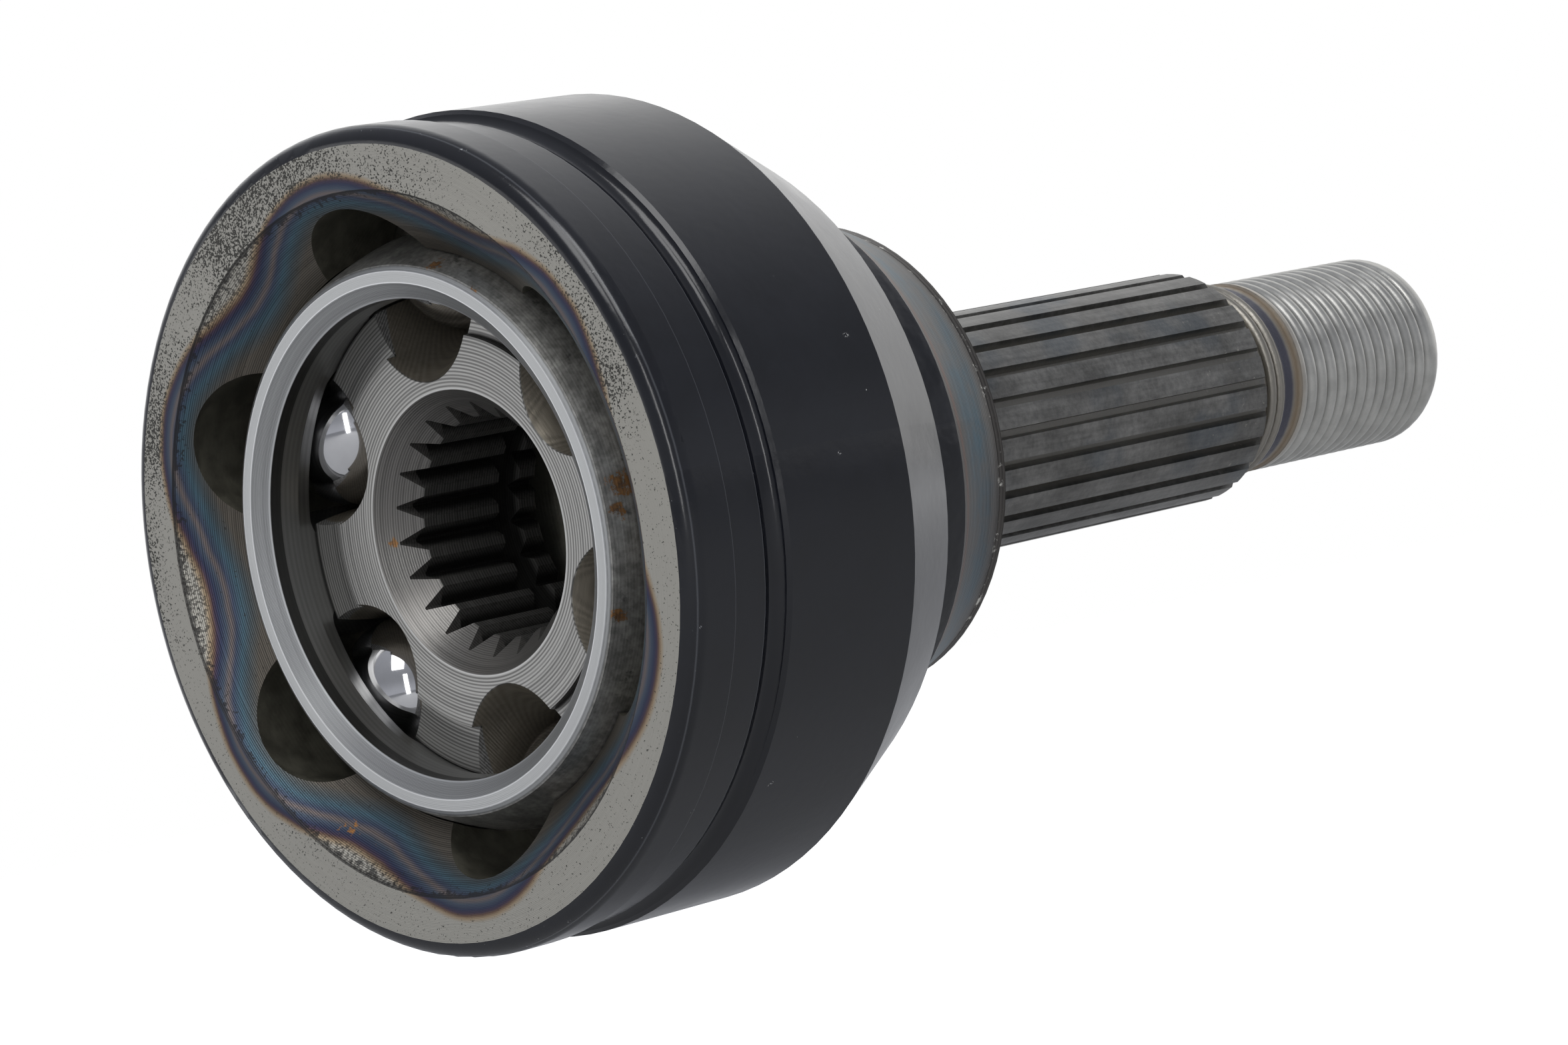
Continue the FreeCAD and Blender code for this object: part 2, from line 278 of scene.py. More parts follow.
class Effects:
    """The shader groups that the finishes share, built once."""

    def __init__(self) -> None:
        """Builds every group."""
        sized = {"Millimetres": "Vector", "Size": "Float"}
        turned = {"Radius": "Float", "Depth": "Float", "Round": "Vector"}
        self.lathe = shader_group("lathe_place", {"Place": "Vector"},
                                  {**turned, "Reach": "Float", "Millimetres": "Vector"}, self.write_lathe)
        self.turning = shader_group("turning_marks", {**turned, "Pitch": "Float", "Wander": "Float"},
                                    {"Height": "Float"}, self.write_turning)
        self.temper = shader_group("temper_colours", {"Heat": "Float"}, {"Color": "Color"}, self.write_temper)
        self.dust = shader_group(
            "dust_grains", {**sized, "Amount": "Float"}, {"Mask": "Float"}, self.write_dust)
        self.mottle = shader_group("mottling", sized, {"Value": "Float"}, self.write_mottle)

    @staticmethod
    def write_lathe(graph: Graph, given: Sockets) -> Sockets:
        """Turns a place in metres into lathe coordinates in millimetres about the joint's axis."""
        scaled = graph.vector("SCALE", given["Place"], 1 / MM)
        x, y, z = graph.split(scaled)
        across = graph.combine(x, 0.0, z)
        return {
            "Radius": graph.vector("LENGTH", across),
            "Depth": graph.math("ADD", y, FACE_TO_CENTRE),
            "Reach": graph.vector("LENGTH", scaled),
            "Round": graph.vector("NORMALIZE", across),
            "Millimetres": scaled,
        }

    @staticmethod
    def write_turning(graph: Graph, given: Sockets) -> Sockets:
        """Rings left by a lathe tool, a pitch apart: even grooves, and others that drift round the turn."""
        across = graph.math("DIVIDE", given["Radius"], given["Pitch"])
        along = graph.math("DIVIDE", given["Depth"], given["Pitch"])
        drift = graph.vector("SCALE", given["Round"], given["Wander"])
        place = graph.vector("ADD", graph.combine(across, along, 0.0), drift)
        groove = graph.math("SINE", graph.times(graph.math("SUBTRACT", across, along), math.tau))
        return {"Height": graph.times_plus(groove, 0.2, graph.noise(place, 1.0, 3.0, 0.65))}

    @staticmethod
    def write_temper(graph: Graph, given: Sockets) -> Sockets:
        """The colours that steel runs through as it is heated, from bare at 0 to dull brown-grey at 1."""
        stops = (
            (0.00, linear(152, 150, 143)), (0.09, linear(142, 126, 104)), (0.15, linear(96, 76, 64)),
            (0.20, linear(60, 50, 66)), (0.27, linear(44, 50, 72)), (0.37, linear(62, 72, 86)),
            (0.46, linear(96, 88, 86)), (0.55, linear(56, 64, 82)), (0.68, linear(58, 80, 92)),
            (0.82, linear(62, 70, 74)), (1.00, linear(76, 72, 66)),
        )
        return {"Color": graph.ramp(given["Heat"], stops)}

    @staticmethod
    def sized(graph: Graph, given: Sockets) -> Socket:
        """The place counted in steps of the given size."""
        sizes = graph.combine(given["Size"], given["Size"], given["Size"])
        return graph.vector("DIVIDE", given["Millimetres"], sizes)

    @staticmethod
    def write_dust(graph: Graph, given: Sockets) -> Sockets:
        """Sparse pale grains of dust."""
        warp = graph.noise(given["Millimetres"], 3.0, 1.0)
        place = graph.vector("ADD", Effects.sized(graph, given), graph.combine(warp, warp, 0.0))
        cell = graph.node("ShaderNodeTexVoronoi", {"Vector": place, "Scale": 1.0}).outputs
        lot = graph.node("ShaderNodeSeparateColor", {0: cell["Color"]})
        chosen = graph.math("LESS_THAN", lot.outputs[1], given["Amount"])
        size = graph.times(lot.outputs[2], 0.07)
        grain = graph.rise(cell["Distance"], size, graph.times(size, 0.5))
        return {"Mask": graph.times(grain, chosen)}

    @staticmethod
    def write_mottle(graph: Graph, given: Sockets) -> Sockets:
        """Soft clouds with finer grain in them, as on forged or phosphated steel."""
        return {"Value": graph.rise(graph.noise(Effects.sized(graph, given), 1.0, 5.0, 0.62), 0.3, 0.7)}


@dataclass(frozen=True)
class Surface:
    """What a finish hands to the Principled shader: sockets or plain values, and the relief in mm."""

    colour: object
    rough: object
    metal: object = 1.0
    height: object = None
    relief: float = 0.02


@dataclass
class Workbench:
    """A material being made: its graph and the lathe coordinates that every finish reads."""

    name: str
    effects: Effects

    def __post_init__(self) -> None:
        """Makes an empty material and places the lathe group in it."""
        self.material = bpy.data.materials.new(self.name)
        self.graph = Graph.emptied(self.material)
        place = self.graph.node("ShaderNodeTexCoord").outputs["Object"]
        lathe = self.graph.group(self.effects.lathe, place=place).outputs
        self.radius = lathe["Radius"]
        self.depth = lathe["Depth"]
        self.reach = lathe["Reach"]
        self.round = lathe["Round"]
        self.millimetres = lathe["Millimetres"]

    def noise(self, scale: float, detail: float = 2.0, rough: float = 0.5) -> Socket:
        """A noise with so many waves to the millimetre."""
        return self.graph.noise(self.millimetres, scale, detail, rough)

    def turning(self, pitch: float, wander: float = 0.5) -> Socket:
        """The lathe marks at this place."""
        return self.graph.group(self.effects.turning, radius=self.radius, depth=self.depth,
                                round=self.round, pitch=pitch, wander=wander).outputs[0]

    def mottle(self, size: float) -> Socket:
        """The clouds at this place."""
        return self.graph.group(self.effects.mottle, millimetres=self.millimetres, size=size).outputs[0]

    def dust(self, size: float, amount: float) -> Socket:
        """The dust at this place."""
        return self.graph.group(self.effects.dust, millimetres=self.millimetres, size=size,
                                amount=amount).outputs[0]

    def shade(self, colour: object, value: Socket, low: float, high: float) -> Socket:
        """A colour multiplied by a grey that runs from low to high with the value."""
        return self.graph.mix(1.0, colour, self.graph.mix(value, (low,) * 3, (high,) * 3), "MULTIPLY")

    def over(self, colour: object, mask: Socket, strength: object, tone: object) -> Socket:
        """A colour with a tone laid over it where the mask is, as strongly as asked."""
        return self.graph.mix(self.graph.times(mask, strength), colour, tone)

    def stained(self, colour: object, *stains: Stain) -> Socket:
        """A colour with single ragged rust stains, each at a place and of a size in mm."""
        graph = self.graph
        ragged = self.noise(1.3, 4.0, 0.72)
        rust = graph.mix(graph.rise(ragged, 0.35, 0.65), DARK_RUST, PALE_RUST)
        for place, size in stains:
            away = graph.vector("DISTANCE", self.millimetres, place)
            reach = graph.times_plus(ragged, -3.2, graph.math("DIVIDE", away, size))
            colour = self.over(colour, graph.rise(reach, -0.75, -1.15), 0.85, rust)
        return colour

    def close(self, surface: Surface) -> Material:
        """Ends the material in a Principled shader.

        Args:
            surface: The finish's colours and numbers.

        Returns:
            The finished material.
        """
        graph = self.graph
        shader = graph.node("ShaderNodeBsdfPrincipled", {
            "Base Color": surface.colour, "Roughness": surface.rough, "Metallic": surface.metal})
        if surface.height is not None:
            bump = graph.node("ShaderNodeBump", {
                "Strength": 1.0, "Distance": surface.relief * MM, "Height": surface.height})
            graph.feed(shader.inputs["Normal"], bump.outputs[0])
        graph.node("ShaderNodeOutputMaterial", {"Surface": shader.outputs[0]})
        return self.material


@dataclass(frozen=True)
class BlackEnamel:
    """The bell's glossy black enamel: dust, thin painted highlight lines along its edges, chips at the mouth
    and runs in the valley.
    """

    paint: Colour = linear(13, 15, 22)
    # Colour of the painted highlight lines along the bell's edges.
    edge_line: Colour = linear(120, 123, 128)
    grain: Colour = linear(190, 190, 188)
    chip: Colour = linear(176, 178, 180)
    highlight_edges: tuple[float, ...] = (0.9, 5.7, 10.2)
    chipped: Span = (0.1, 1.3)
    valley: Span = (44.0, 51.0)
    run_height: float = 14.0

    def make(self, effects: Effects) -> Material:
        """Builds the enamel's material."""
        bench = Workbench("black_enamel", effects)
        graph = bench.graph
        clouds = bench.mottle(9.0)
        colour = bench.shade(self.paint, clouds, 0.85, 1.2)
        # Painted highlights: thin light lines laid along the bell's edges at these depths.
        for edge in self.highlight_edges:
            line = graph.band(bench.depth, edge - 0.05, edge + 0.05, 0.09)
            colour = bench.over(colour, line, 0.35, self.edge_line)
        colour = graph.mix(bench.dust(5.0, 0.35), colour, self.grain)
        chips = graph.rise(bench.noise(0.9, 5.0, 0.75), 0.66, 0.71)
        chips = graph.times(chips, graph.band(bench.depth, *self.chipped, 0.3))
        colour = bench.over(colour, chips, 0.8, self.chip)
        runs = graph.times(bench.noise(0.3), self.run_height)
        height = graph.times_plus(graph.band(bench.depth, *self.valley, 1.2), runs, bench.noise(0.8, 3.0))
        return bench.close(Surface(colour, graph.between(clouds, 0.14, 0.21), metal=0.0, height=height,
                                   relief=0.012))


@dataclass(frozen=True)
class HeatLobes:
    """How far the colours of induction hardening reach outward at the tracks and between them."""

    mean_radius: float = 36.4
    swing: float = 1.8
    ragged: float = 1.6
    span: float = 4.9

    def tempered(self, bench: Workbench) -> tuple[Socket, Socket]:
        """The heat at this place and its colour.

        Args:
            bench: The material being made.

        Returns:
            The heat, from 0 in the bare steel to 1 next to the balls' tracks, and the colour.
        """
        graph = bench.graph
        x, _, z = graph.split(bench.round)
        lobes = graph.math("COSINE", graph.times(graph.math("ARCTAN2", x, z), float(BALL_COUNT)))
        ragged = graph.times(graph.math("SUBTRACT", bench.noise(0.07, 3.0), 0.5), self.ragged)
        border = graph.math("ADD", graph.times_plus(lobes, self.swing, self.mean_radius), ragged)
        heat = graph.math("DIVIDE", graph.math("SUBTRACT", border, bench.radius), self.span, clamp=True)
        return heat, graph.group(bench.effects.temper, heat=heat).outputs[0]


@dataclass(frozen=True)
class BareFace:
    """The bare ring round the mouth: fine turning, and speckles densest at its upper left."""

    speckle: Colour = linear(40, 39, 36)
    sparse: float = 0.66
    dense: float = 0.455

    def make(self, effects: Effects) -> Material:
        """Builds the bare steel's material."""
        bench = Workbench("bare_face", effects)
        graph = bench.graph
        heat, tint = HeatLobes().tempered(bench)
        rings = bench.turning(0.16)
        x, _, z = graph.split(bench.round)
        patches = graph.times_plus(graph.times_plus(x, -0.4, z), 0.2, bench.noise(0.045))
        least = graph.between(graph.rise(patches, 0.46, 0.72), self.sparse, self.dense)
        specks = graph.rise(bench.noise(4.8, 1.5), least, graph.math("ADD", least, 0.06))
        specks = graph.times(specks, graph.rise(heat, 0.30, 0.05))
        colour = bench.shade(bench.over(tint, specks, 0.92, self.speckle), rings, 0.85, 1.12)
        return bench.close(Surface(colour, 0.5, metal=0.7, height=rings, relief=0.01))


@dataclass(frozen=True)
class HeatedLeadIn:
    """The turned lead-in behind the mouth: temper colours, a ragged dark line at its edge, pits and rust."""

    edge_line: Colour = linear(34, 34, 36)
    pit: Colour = linear(40, 38, 36)
    lift: Colour = (1.32, 1.3, 1.27)
    stains: tuple[Stain, ...] = (
        ((-20.6, -15.2, -27.1), 1.6), ((-17.5, -15.4, -29.6), 1.1), ((-8.0, -16.5, -34.6), 0.9))

    def make(self, effects: Effects) -> Material:
        """Builds the heated steel's material."""
        bench = Workbench("heated_lead_in", effects)
        graph = bench.graph
        heat, tint = HeatLobes().tempered(bench)
        rings = bench.turning(0.30)
        ragged = graph.rise(bench.noise(1.2, 4.0, 0.7), 0.46, 0.72)
        line = graph.rise(graph.times_plus(ragged, -0.9, bench.depth), 0.32, 0.12)
        colour = bench.shade(tint, graph.rise(rings, 0.3, 0.7), 0.55, 1.25)
        colour = bench.over(colour, line, 0.8, self.edge_line)
        grain = bench.noise(3.4)
        cold = graph.times(graph.rise(grain, 0.50, 0.56), graph.rise(heat, 0.20, 0.06))
        pits = graph.math("MAXIMUM", graph.rise(grain, 0.68, 0.72), cold)
        colour = bench.stained(bench.over(colour, pits, 0.7, self.pit), *self.stains)
        colour = graph.mix(1.0, colour, self.lift, "MULTIPLY")
        return bench.close(Surface(colour, 0.4, metal=0.7, height=rings))


@dataclass(frozen=True)
class OiledSteel:
    """Dark hardened steel under a film of oil, as in the bell's tracks and its cavity."""

    steel: Colour = linear(92, 90, 80)
    rough: Span = (0.36, 0.50)

    def make(self, effects: Effects) -> Material:
        """Builds the dark steel's material."""
        bench = Workbench("oiled_track", effects)
        clouds = bench.mottle(3.0)
        colour = bench.shade(self.steel, clouds, 0.7, 1.35)
        rough = bench.graph.between(clouds, *self.rough)
        return bench.close(Surface(colour, rough, metal=0.5, height=bench.turning(0.5), relief=0.01))


@dataclass(frozen=True)
class TurnedCollar:
    """The bearing collar behind the bell: turned, with a teal oxide tint and a nicked rear edge."""

    front_edge: float = 51.3
    back_edge: float = 60.7
    teal: Colour = linear(46, 76, 90)
    grey: Colour = linear(80, 77, 74)
    red: Colour = linear(104, 74, 62)
    nick: Colour = linear(200, 198, 190)

    def make(self, effects: Effects) -> Material:
        """Builds the collar's material."""
        bench = Workbench("turned_collar", effects)
        graph = bench.graph
        rings = bench.turning(0.5)
        teal = graph.band(bench.depth, self.front_edge + 2.0, self.back_edge - 1.4, 1.2)
        colour = bench.over(self.grey, teal, bench.mottle(7.0), self.teal)
        red = graph.band(bench.depth, self.front_edge + 0.5, self.front_edge + 1.1, 0.3)
        colour = bench.over(colour, red, 0.7, self.red)
        nicks = graph.rise(bench.noise(0.9, 4.0, 0.7), 0.56, 0.66)
        edge = graph.band(bench.depth, self.back_edge - 0.3, self.back_edge + 0.5, 0.3)
        colour = bench.over(colour, nicks, edge, self.nick)
        colour = bench.shade(colour, graph.rise(rings, 0.3, 0.7), 0.62, 1.25)
        return bench.close(Surface(colour, 0.38, metal=0.85, height=rings))


@dataclass(frozen=True)
class SplinedSteel:
    """The stub's seat, spline and neck: dark mottled steel, grooves painted paler as painted light against
    their shade, bluish patches, a banded neck.
    """

    top_radius: float = 13.05
    floor_radius: float = 12.1
    spline_end: float = 119.5
    dark_band: Span = (124.3, 125.9)
    gold_band: Span = (126.2, 127.2)
    steel: Colour = linear(118, 117, 114)
    # Colour of the painted light in the spline's grooves.
    blued: Colour = linear(66, 80, 92)
    groove: Colour = linear(128, 125, 118)
    scuffed: Colour = linear(196, 192, 180)
    neck: Colour = linear(150, 146, 138)
    dark: Colour = linear(62, 64, 82)
    gold: Colour = linear(140, 114, 78)

    def make(self, effects: Effects) -> Material:
        """Builds the spline's material, and the bands of the neck behind it."""
        bench = Workbench("splined_steel", effects)
        graph = bench.graph
        fine = bench.mottle(0.7)
        drawn = graph.vector("MULTIPLY", bench.millimetres, (1.5, 0.09, 1.5))
        streaks = graph.rise(graph.noise(drawn, 1.0, 3.0, 0.6), 0.3, 0.7)
        colour = self.steel
        for marks, low, high in ((fine, 0.82, 1.15), (streaks, 0.84, 1.14), (bench.mottle(7.0), 0.72, 1.2)):
            colour = bench.shade(colour, marks, low, high)
        colour = bench.over(colour, graph.rise(bench.noise(0.12), 0.52, 0.7), 0.4, self.blued)
        splined = graph.rise(bench.depth, self.spline_end, self.spline_end - 1.5)
        # Painted light: the grooves are laid paler to lift the shade that falls in them.
        grooved = graph.times(graph.rise(bench.radius, self.top_radius, self.floor_radius), splined)
        colour = bench.over(colour, grooved, 0.8, self.groove)
        scuffs = graph.times(graph.rise(bench.noise(1.1, 5.0, 0.75), 0.62, 0.70),
                             graph.rise(bench.depth, self.spline_end - 22.0, self.spline_end - 4.0))
        colour = bench.over(colour, graph.times(scuffs, splined), 0.55, self.scuffed)
        neck = graph.rise(bench.depth, self.spline_end - 0.4, self.spline_end + 0.8)
        colour = graph.mix(neck, colour, bench.shade(self.neck, bench.turning(0.25), 0.7, 1.2))
        colour = bench.over(colour, graph.band(bench.depth, *self.dark_band, 0.35), 0.85, self.dark)
        colour = bench.over(colour, graph.band(bench.depth, *self.gold_band, 0.45), 0.5, self.gold)
        return bench.close(Surface(colour, graph.between(fine, 0.34, 0.46),
                                   metal=graph.between(grooved, 0.88, 0.35), height=fine, relief=0.012))


@dataclass(frozen=True)
class RolledThread:
    """The bright satin steel of the rolled thread and the stub's end, with painted shade in the thread's
    roots.
    """

    crest_radius: float = 10.85
    root_radius: float = 10.45
    gold_end: float = 128.4
    steel: Colour = linear(192, 191, 186)
    # Colour of the painted shade in the thread's roots.
    dark: Colour = linear(104, 102, 96)
    gold: Colour = linear(150, 126, 92)

    def make(self, effects: Effects) -> Material:
        """Builds the thread's material."""
        bench = Workbench("rolled_thread", effects)
        graph = bench.graph
        clouds = bench.mottle(2.5)
        # Painted shade: the steel darkens below the crests, in the thread's roots and on the end inside the
        # root radius.
        sunk = graph.rise(bench.radius, self.crest_radius, self.root_radius)
        colour = bench.over(self.steel, sunk, 0.6, self.dark)
        colour = bench.shade(colour, clouds, 0.86, 1.08)
        gold = graph.rise(bench.depth, self.gold_end, self.gold_end - 1.5)
        colour = bench.over(colour, gold, 0.4, self.gold)
        return bench.close(Surface(colour, graph.between(clouds, 0.3, 0.38), height=clouds, relief=0.006))


@dataclass(frozen=True)
class CageSteel:
    """The cage: a bright ground front ring, a scaled sphere with rust stains, and a turned inside with a band
    of painted shade behind the front.
    """

    face_depth: float = 2.6
    bore_start: float = 3.85
    shaded_band_end: float = 5.2
    sphere_reach: float = 31.5
    bright_edges: tuple[float, ...] = (24.4, 26.03, 27.2)
    ground: Colour = linear(164, 165, 165)
    scaled: Colour = linear(146, 145, 141)
    blotch: Colour = linear(60, 60, 60)
    inside: Colour = linear(140, 140, 138)
    # Colour of the painted shade in the band inside the cage.
    dark: Colour = linear(50, 50, 49)
    glint: Colour = linear(226, 227, 228)
    stains: tuple[Stain, ...] = (
        ((28.7, -13.3, 0.6), 1.5), ((28.1, -14.0, -1.8), 1.1), ((25.5, -14.5, -11.8), 1.0),
        ((10.8, -14.2, 26.1), 1.0), ((16.1, -15.3, 22.5), 0.8))

    def make(self, effects: Effects) -> Material:
        """Builds the cage's material."""
        bench = Workbench("cage_steel", effects)
        graph = bench.graph
        sphere = bench.shade(self.scaled, bench.mottle(2.2), 0.72, 1.25)
        sphere = bench.shade(sphere, graph.rise(bench.noise(1.6), 0.3, 0.7), 0.8, 1.15)
        patch = graph.rise(bench.noise(0.35, 4.0, 0.7), 0.60, 0.72)
        sphere = bench.stained(bench.over(sphere, patch, 0.7, self.blotch), *self.stains)
        rings = bench.turning(0.16, 0.3)
        lines = graph.rise(rings, 0.35, 0.65)
        inner = bench.shade(self.inside, bench.turning(0.6), 0.8, 1.2)
        # Painted shade: the inside is darker up to a set depth, standing for a change in the bore's slope.
        dark_band = graph.rise(bench.depth, self.shaded_band_end + 0.05, self.shaded_band_end - 0.05)
        inner = bench.over(inner, dark_band, 0.85, self.dark)
        outer = graph.rise(bench.reach, self.sphere_reach - 0.04, self.sphere_reach + 0.04)
        front = graph.times(graph.rise(bench.depth, self.bore_start + 0.02, self.bore_start - 0.06),
                            graph.math("SUBTRACT", 1.0, outer))
        chamfer = graph.rise(bench.depth, self.face_depth + 0.02, self.face_depth + 0.08)
        face = graph.mix(chamfer, self.ground, bench.shade(self.ground, lines, 0.66, 1.12))
        colour = graph.mix(front, graph.mix(outer, inner, sphere), face)
        for radius in self.bright_edges:
            edge = graph.times(graph.band(bench.radius, radius - 0.06, radius + 0.06, 0.08), front)
            colour = bench.over(colour, edge, 0.6, self.glint)
        rough = graph.between(front, graph.between(outer, 0.36, 0.45), graph.between(lines, 0.32, 0.40))
        return bench.close(Surface(colour, rough, metal=0.85, height=rings, relief=0.008))


@dataclass(frozen=True)
class RaceSteel:
    """The inner race: turned faces with a painted shadow line at their step, ground tracks, a turned bore
    chamfer and teeth with painted shade in their gaps.
    """

    front_face: float = 9.2
    step_radius: float = 20.1
    step_height: float = 0.9
    step_slope: float = 0.35
    chamfer_radius: float = 14.55
    chamfer_end: float = 13.3
    gap_top: float = 11.45
    gap_root: float = 12.5
    turned: Colour = linear(152, 151, 148)
    # Colour of the painted shadow line where the front face steps down.
    step: Colour = linear(40, 39, 37)
    track: Colour = linear(140, 133, 120)
    chamfer: Colour = linear(112, 110, 107)
    teeth: Colour = linear(108, 107, 104)
    # Colour of the painted shade in the gaps between the bore's teeth.
    gap_shade: Colour = linear(28, 28, 27)
    glint: Colour = linear(222, 222, 220)
    stain: Stain = ((-13.3, -7.5, 1.0), 0.6)

    def make(self, effects: Effects) -> Material:
        """Builds the inner race's material."""
        bench = Workbench("race_steel", effects)
        graph = bench.graph
        rings = bench.turning(0.36, 0.25)
        lines = graph.rise(rings, 0.30, 0.70)
        flat = self.near_face(bench)
        # Painted shadow: a dark line where the front face steps down.
        step = graph.band(bench.radius, self.step_radius - 0.05, self.step_radius + 0.25, 0.08)
        turned = bench.over(bench.shade(self.turned, lines, 0.5, 1.3), step, 0.75, self.step)
        track = bench.shade(self.track, bench.turning(0.5, 0.3), 0.7, 1.25)
        colour = graph.mix(flat, track, turned)
        inside = graph.rise(bench.radius, self.chamfer_radius + 0.03, self.chamfer_radius - 0.03)
        pale = bench.stained(bench.shade(self.chamfer, lines, 0.7, 1.25), self.stain)
        colour = graph.mix(inside, colour, pale)
        bore = graph.times(inside, graph.rise(bench.depth, self.chamfer_end - 0.1, self.chamfer_end + 0.1))
        # Painted shade: the gaps between the bore's teeth are darkened.
        gap_shade = graph.rise(bench.radius, self.gap_top, self.gap_root)
        toothed = bench.over(bench.shade(self.teeth, lines, 0.6, 1.3), gap_shade, 0.85, self.gap_shade)
        colour = graph.mix(bore, colour, toothed)
        edge = graph.band(bench.radius, self.chamfer_radius - 0.04, self.chamfer_radius + 0.08, 0.06)
        colour = bench.over(colour, graph.times(edge, flat), 0.6, self.glint)
        return bench.close(Surface(colour, graph.between(flat, 0.34, 0.44), metal=0.68, height=rings))

    def near_face(self, bench: Workbench) -> Socket:
        """A mask of the front face, with its step and the slope beyond it."""
        graph = bench.graph
        past_step = graph.math("GREATER_THAN", bench.radius, self.step_radius - 0.05)
        beyond = graph.math("SUBTRACT", bench.radius, self.step_radius)
        fall = graph.times_plus(beyond, self.step_slope, self.step_height)
        face = graph.times_plus(past_step, fall, self.front_face)
        return graph.rise(graph.math("SUBTRACT", bench.depth, face), 0.16, 0.06)


@dataclass(frozen=True)
class ChromeSteel:
    """The balls' polished bearing steel."""

    steel: Colour = linear(206, 206, 208)

    def make(self, effects: Effects) -> Material:
        """Builds the balls' material."""
        bench = Workbench("chrome_steel", effects)
        clouds = bench.mottle(4.0)
        colour = bench.shade(self.steel, clouds, 0.94, 1.03)
        return bench.close(Surface(colour, bench.graph.between(clouds, 0.045, 0.08)))


@dataclass(frozen=True)
class Triangle:
    """One triangle of the CAD bell: its corners' depths behind the mouth and radii, in mm."""

    depths: tuple[float, ...]
    radii: tuple[float, ...]

    @property
    def depth(self) -> float:
        """The middle's depth behind the mouth."""
        return sum(self.depths) / len(self.depths)

    @property
    def radius(self) -> float:
        """The corners' mean distance from the axis."""
        return sum(self.radii) / len(self.radii)


def loose_copy(node: str, name: str, finish_of: Callable[[Triangle], int | None]) -> Piece:
    """Copies the triangles of a CAD node that a test keeps, with their exact normals.

    Args:
        node: The CAD node.
        name: The new piece's name.
        finish_of: Gives the index of a triangle's finish, or None to leave the triangle out.

    Returns:
        The new piece, linked to the scene.
    """
    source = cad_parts[node].data
    corner_normals = [tuple(normal.vector) for normal in source.corner_normals]
    places: list[Vector] = []
    faces: list[tuple[int, ...]] = []
    normals: list[tuple[float, ...]] = []
    finishes: list[int] = []
    known: dict[tuple[float, ...], int] = {}
    for polygon in source.polygons:
        corners = [source.vertices[index].co / MM for index in polygon.vertices]
        finish = finish_of(Triangle(
            tuple(corner.y + FACE_TO_CENTRE for corner in corners),
            tuple(math.hypot(corner.x, corner.z) for corner in corners)))
        if finish is None:
            continue
        face = []
        for corner in corners:
            key = tuple(round(value, 4) for value in corner)
            if key not in known:
                known[key] = len(places)
                places.append(corner * MM)
            face.append(known[key])
        if len(set(face)) < len(face):
            continue
        faces.append(tuple(face))
        normals.extend(corner_normals[index] for index in polygon.loop_indices)
        finishes.append(int(finish))
    mesh = bpy.data.meshes.new(name)
    mesh.from_pydata(places, [], faces)
    mesh.polygons.foreach_set("use_smooth", [True] * len(faces))
    mesh.polygons.foreach_set("material_index", finishes)
    mesh.update()
    mesh.normals_split_custom_set(normals)
    return put(name, mesh)


def dress(piece: Piece, *materials: Material) -> None:
    """Puts materials in a piece's slots, in order, and leaves each face's own slot as it is."""
    slots = piece.data.materials
    for index, material in enumerate(materials):
        if index < len(slots):
            slots[index] = material
        else:
            slots.append(material)


